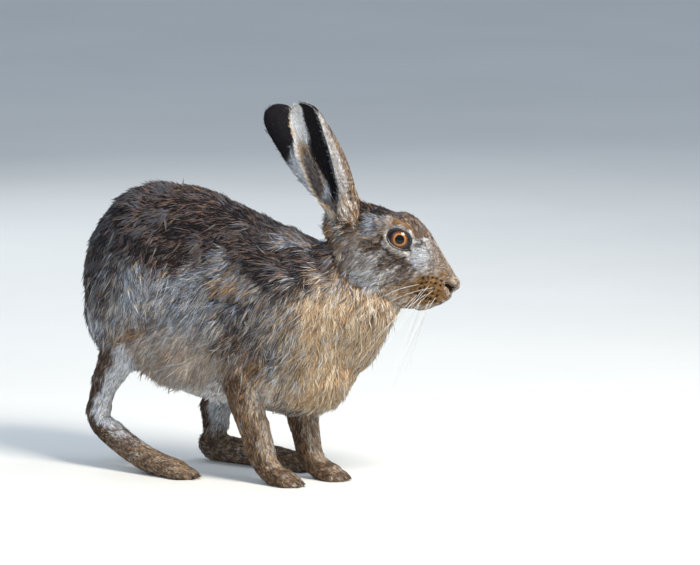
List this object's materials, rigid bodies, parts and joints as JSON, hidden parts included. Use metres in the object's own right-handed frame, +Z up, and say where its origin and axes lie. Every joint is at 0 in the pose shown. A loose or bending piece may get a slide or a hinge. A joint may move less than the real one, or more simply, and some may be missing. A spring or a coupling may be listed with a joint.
{
  "type": "brown hare",
  "caption": "Life-size brown hare standing alert on all fours, back arched, head turned to one side and both long ears raised.",
  "frame": {"origin": "on the floor under the middle of the animal's bounding box", "axes": "+X from the tail towards the chest, +Y to the hare's left, +Z up"},
  "size_m": [0.4116, 0.1554, 0.3898],
  "materials": {
    "face_fur": "short dense grey-brown fur",
    "ear_fur": "very short fur over thin gristle, black at the tips",
    "eye": "wet and glossy, amber round a black pupil",
    "chest_fur": "soft buff fur",
    "flank_fur": "long loose grey-buff fur",
    "back_fur": "long dark-tipped fur in wavy tufts",
    "leg_fur": "short close fur",
    "tail_fur": "fluffy fur, white below and black above"
  },
  "bodies": {
    "root": {"head": "face_fur", "ear_left": "ear_fur", "ear_right": "ear_fur", "eye_left": "eye", "eye_right": "eye", "neck": "chest_fur", "chest": "chest_fur", "barrel": "flank_fur", "rump": "back_fur", "tail": "tail_fur", "upper_arm_left": "flank_fur", "upper_arm_right": "flank_fur", "forearm_left": "leg_fur", "forearm_right": "leg_fur", "fore_paw_left": "leg_fur", "fore_paw_right": "leg_fur", "thigh_left": "flank_fur", "thigh_right": "flank_fur", "shank_left": "leg_fur", "shank_right": "leg_fur", "hind_foot_left": "leg_fur", "hind_foot_right": "leg_fur"}
  },
  "joints": []
}
